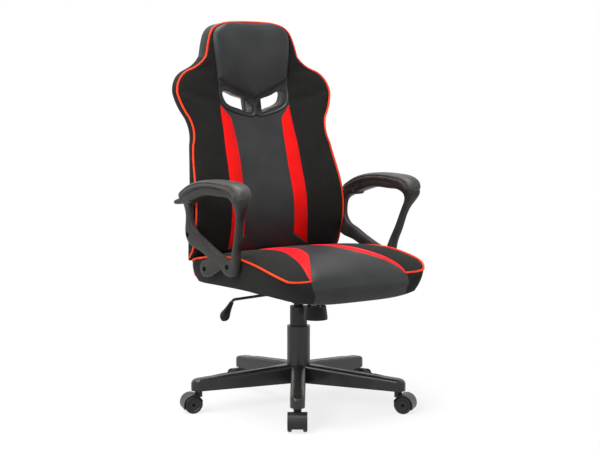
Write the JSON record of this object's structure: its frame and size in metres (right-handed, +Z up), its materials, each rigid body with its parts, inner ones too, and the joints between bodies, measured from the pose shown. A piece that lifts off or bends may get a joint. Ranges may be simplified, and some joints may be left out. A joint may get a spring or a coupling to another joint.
{
  "type": "racing gaming chair",
  "caption": "Racing-style gaming chair: winged one-piece back with head slots, crowned seat, closed loop arms, gas lift, tilt mechanism and a star base on twin-wheel casters.",
  "frame": {"origin": "on the floor under the column's axis", "axes": "+Z up along the column, -Y the way the chair faces, +X the sitter's left"},
  "size_m": [0.6802, 0.6656, 1.119],
  "materials": {
    "black_nylon": "satin",
    "caster_nylon": "satin",
    "black_steel": "satin",
    "bright_steel": "satin",
    "acetal": "satin",
    "arm_plastic": "satin",
    "arm_pad": "matte",
    "knob_plastic": "satin",
    "bezel_plastic": "satin",
    "black_fabric": "matte",
    "back_fabric": "matte",
    "dust_cloth": "matte",
    "plywood": "matte"
  },
  "bodies": {
    "base": {"star_base": "black_nylon", "column_sleeve": "black_nylon", "column_tube": "black_steel", "column_bush": "acetal", "thrust_bearing": "bright_steel", "caster_stems": "bright_steel", "stem_grip_rings": "bright_steel"},
    "piston": {"piston_rod": "bright_steel", "piston_head": "acetal", "piston_clip": "bright_steel"},
    "lift": {"gas_cylinder": "black_steel", "cylinder_end_guide": "acetal", "mechanism_housing": "black_steel", "tilt_pivot_pin": "bright_steel", "tension_spring": "bright_steel"},
    "valve": {"valve_pin": "bright_steel"},
    "lever_rocker": {"lever_pivot_block": "acetal"},
    "lever": {"lever_rod": "black_steel", "lever_paddle": "knob_plastic"},
    "seat": {"seat_plate": "black_steel", "seat_plate_bolts": "bright_steel", "seat_tee_nuts": "bright_steel", "tension_bolt": "bright_steel", "seat_board": "plywood", "seat_dust_cover": "dust_cloth", "seat_side_rails": "plywood", "seat_cushion": "black_fabric", "back_board": "plywood", "back_side_rails": "plywood", "back_cushion": "black_fabric", "back_rear_cover": "back_fabric", "slot_bezel": "bezel_plastic", "slot_bezel_rear": "bezel_plastic", "arm_frame_left": "arm_plastic", "arm_frame_right": "arm_plastic", "arm_pad_left": "arm_pad", "arm_pad_right": "arm_pad", "arm_bolts": "black_steel", "arm_insert_nuts": "bright_steel"},
    "knob": {"tension_knob": "knob_plastic"},
    "caster_1": {"caster_hood_1": "caster_nylon", "caster_axle_1": "bright_steel"},
    "wheel_1_a": {"caster_wheel_1_a": "caster_nylon"},
    "wheel_1_b": {"caster_wheel_1_b": "caster_nylon"},
    "caster_2": {"caster_hood_2": "caster_nylon", "caster_axle_2": "bright_steel"},
    "wheel_2_a": {"caster_wheel_2_a": "caster_nylon"},
    "wheel_2_b": {"caster_wheel_2_b": "caster_nylon"},
    "caster_3": {"caster_hood_3": "caster_nylon", "caster_axle_3": "bright_steel"},
    "wheel_3_a": {"caster_wheel_3_a": "caster_nylon"},
    "wheel_3_b": {"caster_wheel_3_b": "caster_nylon"},
    "caster_4": {"caster_hood_4": "caster_nylon", "caster_axle_4": "bright_steel"},
    "wheel_4_a": {"caster_wheel_4_a": "caster_nylon"},
    "wheel_4_b": {"caster_wheel_4_b": "caster_nylon"},
    "caster_5": {"caster_hood_5": "caster_nylon", "caster_axle_5": "bright_steel"},
    "wheel_5_a": {"caster_wheel_5_a": "caster_nylon"},
    "wheel_5_b": {"caster_wheel_5_b": "caster_nylon"}
  },
  "joints": [
    {"name": "seat_swivel", "type": "hinge", "parent": "base", "child": "piston", "pos_m": [0, 0, 0.3], "axis": [0, 0, 1], "continuous": true},
    {"name": "gas_lift", "type": "slide", "parent": "piston", "child": "lift", "axis": [0, 0, 1], "range_m": [0, 0.09]},
    {"name": "seat_tilt", "type": "hinge", "parent": "lift", "child": "seat", "pos_m": [0, -0.045, 0.335], "axis": [-1, 0, 0], "range_deg": [0, 12], "stiffness_Nm_per_rad": 70, "springref_deg": -28.65, "deforming": ["tension_spring"]},
    {"name": "tension_turn", "type": "hinge", "parent": "seat", "child": "knob", "pos_m": [0, -0.088, 0.28], "axis": [0, 0, 1], "range_deg": [-900, 900]},
    {"name": "lever_lift", "type": "hinge", "parent": "lift", "child": "lever_rocker", "pos_m": [-0.052, 0, 0.33513], "axis": [0, 1, 0], "range_deg": [0, 5]},
    {"name": "lever_pull", "type": "slide", "parent": "lever_rocker", "child": "lever", "axis": [-0.9994, 0, -0.0359], "range_m": [0, 0.012]},
    {"name": "valve_press", "type": "slide", "parent": "lift", "child": "valve", "axis": [0, 0, -1], "range_m": [0, 0.0052], "stiffness_N_per_m": 300},
    {"name": "caster_swivel_1", "type": "hinge", "parent": "base", "child": "caster_1", "pos_m": [-0.16949, -0.24753, 0.05], "axis": [0, 0, 1], "continuous": true},
    {"name": "wheel_spin_1_a", "type": "hinge", "parent": "caster_1", "child": "wheel_1_a", "pos_m": [-0.18079, -0.26404, 0.025], "axis": [0.8251, -0.565, 0], "continuous": true},
    {"name": "wheel_spin_1_b", "type": "hinge", "parent": "caster_1", "child": "wheel_1_b", "pos_m": [-0.18079, -0.26404, 0.025], "axis": [0.8251, -0.565, 0], "continuous": true},
    {"name": "caster_swivel_2", "type": "hinge", "parent": "base", "child": "caster_2", "pos_m": [0.18304, -0.23769, 0.05], "axis": [0, 0, 1], "continuous": true},
    {"name": "wheel_spin_2_a", "type": "hinge", "parent": "caster_2", "child": "wheel_2_a", "pos_m": [0.19525, -0.25353, 0.025], "axis": [0.7923, 0.6101, 0], "continuous": true},
    {"name": "wheel_spin_2_b", "type": "hinge", "parent": "caster_2", "child": "wheel_2_b", "pos_m": [0.19525, -0.25353, 0.025], "axis": [0.7923, 0.6101, 0], "continuous": true},
    {"name": "caster_swivel_3", "type": "hinge", "parent": "base", "child": "caster_3", "pos_m": [0.28262, 0.10064, 0.05], "axis": [0, 0, 1], "continuous": true},
    {"name": "wheel_spin_3_a", "type": "hinge", "parent": "caster_3", "child": "wheel_3_a", "pos_m": [0.30146, 0.10734, 0.025], "axis": [-0.3355, 0.9421, 0], "continuous": true},
    {"name": "wheel_spin_3_b", "type": "hinge", "parent": "caster_3", "child": "wheel_3_b", "pos_m": [0.30146, 0.10734, 0.025], "axis": [-0.3355, 0.9421, 0], "continuous": true},
    {"name": "caster_swivel_4", "type": "hinge", "parent": "base", "child": "caster_4", "pos_m": [-0.00838, 0.29988, 0.05], "axis": [0, 0, 1], "continuous": true},
    {"name": "wheel_spin_4_a", "type": "hinge", "parent": "caster_4", "child": "wheel_4_a", "pos_m": [-0.00894, 0.31988, 0.025], "axis": [-0.9996, -0.0279, 0], "continuous": true},
    {"name": "wheel_spin_4_b", "type": "hinge", "parent": "caster_4", "child": "wheel_4_b", "pos_m": [-0.00894, 0.31988, 0.025], "axis": [-0.9996, -0.0279, 0], "continuous": true},
    {"name": "caster_swivel_5", "type": "hinge", "parent": "base", "child": "caster_5", "pos_m": [-0.28779, 0.0847, 0.05], "axis": [0, 0, 1], "continuous": true},
    {"name": "wheel_spin_5_a", "type": "hinge", "parent": "caster_5", "child": "wheel_5_a", "pos_m": [-0.30698, 0.09035, 0.025], "axis": [-0.2823, -0.9593, 0], "continuous": true},
    {"name": "wheel_spin_5_b", "type": "hinge", "parent": "caster_5", "child": "wheel_5_b", "pos_m": [-0.30698, 0.09035, 0.025], "axis": [-0.2823, -0.9593, 0], "continuous": true}
  ],
  "couplings": [
    {"joint": "valve_press", "follows": "lever_lift", "m_per_rad": 0.055}
  ]
}
